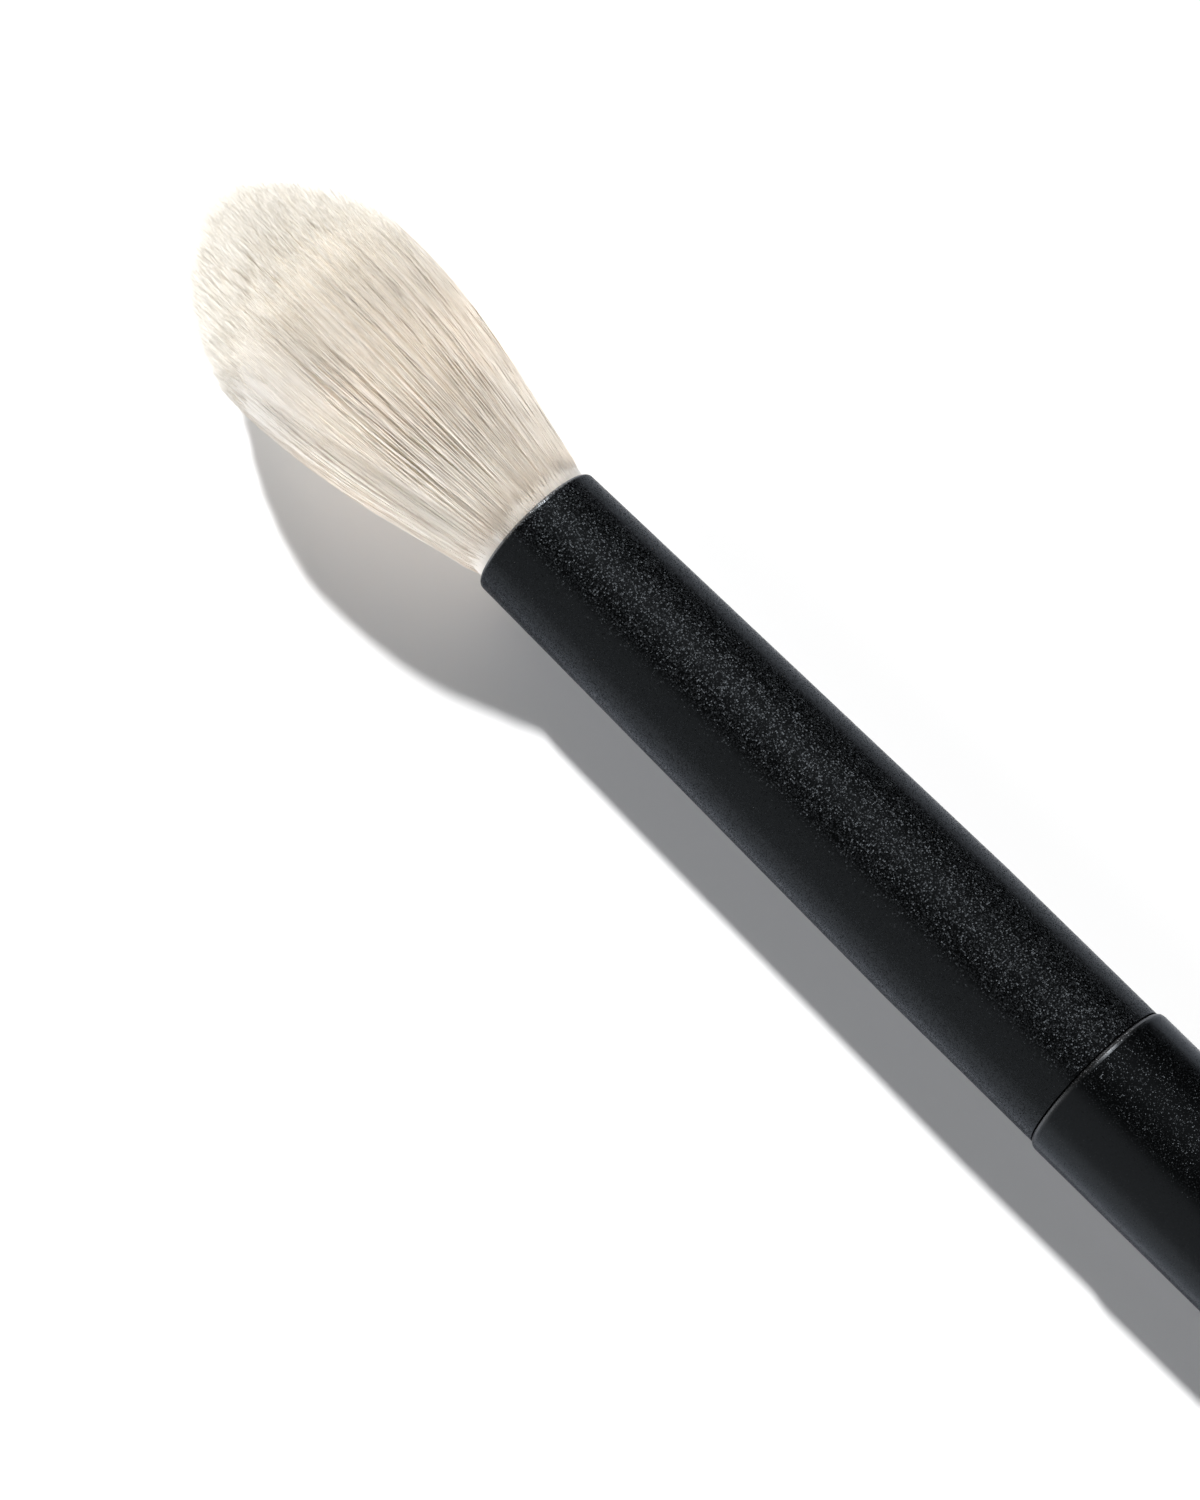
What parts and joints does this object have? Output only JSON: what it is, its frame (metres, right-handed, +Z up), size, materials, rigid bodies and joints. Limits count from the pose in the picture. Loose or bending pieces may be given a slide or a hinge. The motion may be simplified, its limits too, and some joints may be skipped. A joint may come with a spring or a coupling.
{
  "type": "eyeshadow brush",
  "caption": "Fluffy eyeshadow brush: a domed natural-hair tuft, bound and set in a long tapered ferrule on a round tapered handle.",
  "frame": {"origin": "under the middle of the brush's length, on the surface that it lies on", "axes": "+X along the brush from the tail towards the tip of the hair, +Z up from the surface, the brush's axis 4.4 mm above it"},
  "size_m": [0.1645, 0.0116, 0.0108],
  "materials": {
    "handle_lacquer": "satin",
    "ferrule_metal": "satin",
    "glue": "satin",
    "resin": "gloss",
    "root_hair": "matte",
    "thread": "matte",
    "hair": "satin"
  },
  "bodies": {
    "root": {"handle": "handle_lacquer", "ferrule": "ferrule_metal", "tenon_glue": "glue", "resin_plug": "resin", "hair_roots": "root_hair", "binding_thread": "thread", "hair_tuft": "hair"}
  },
  "joints": []
}
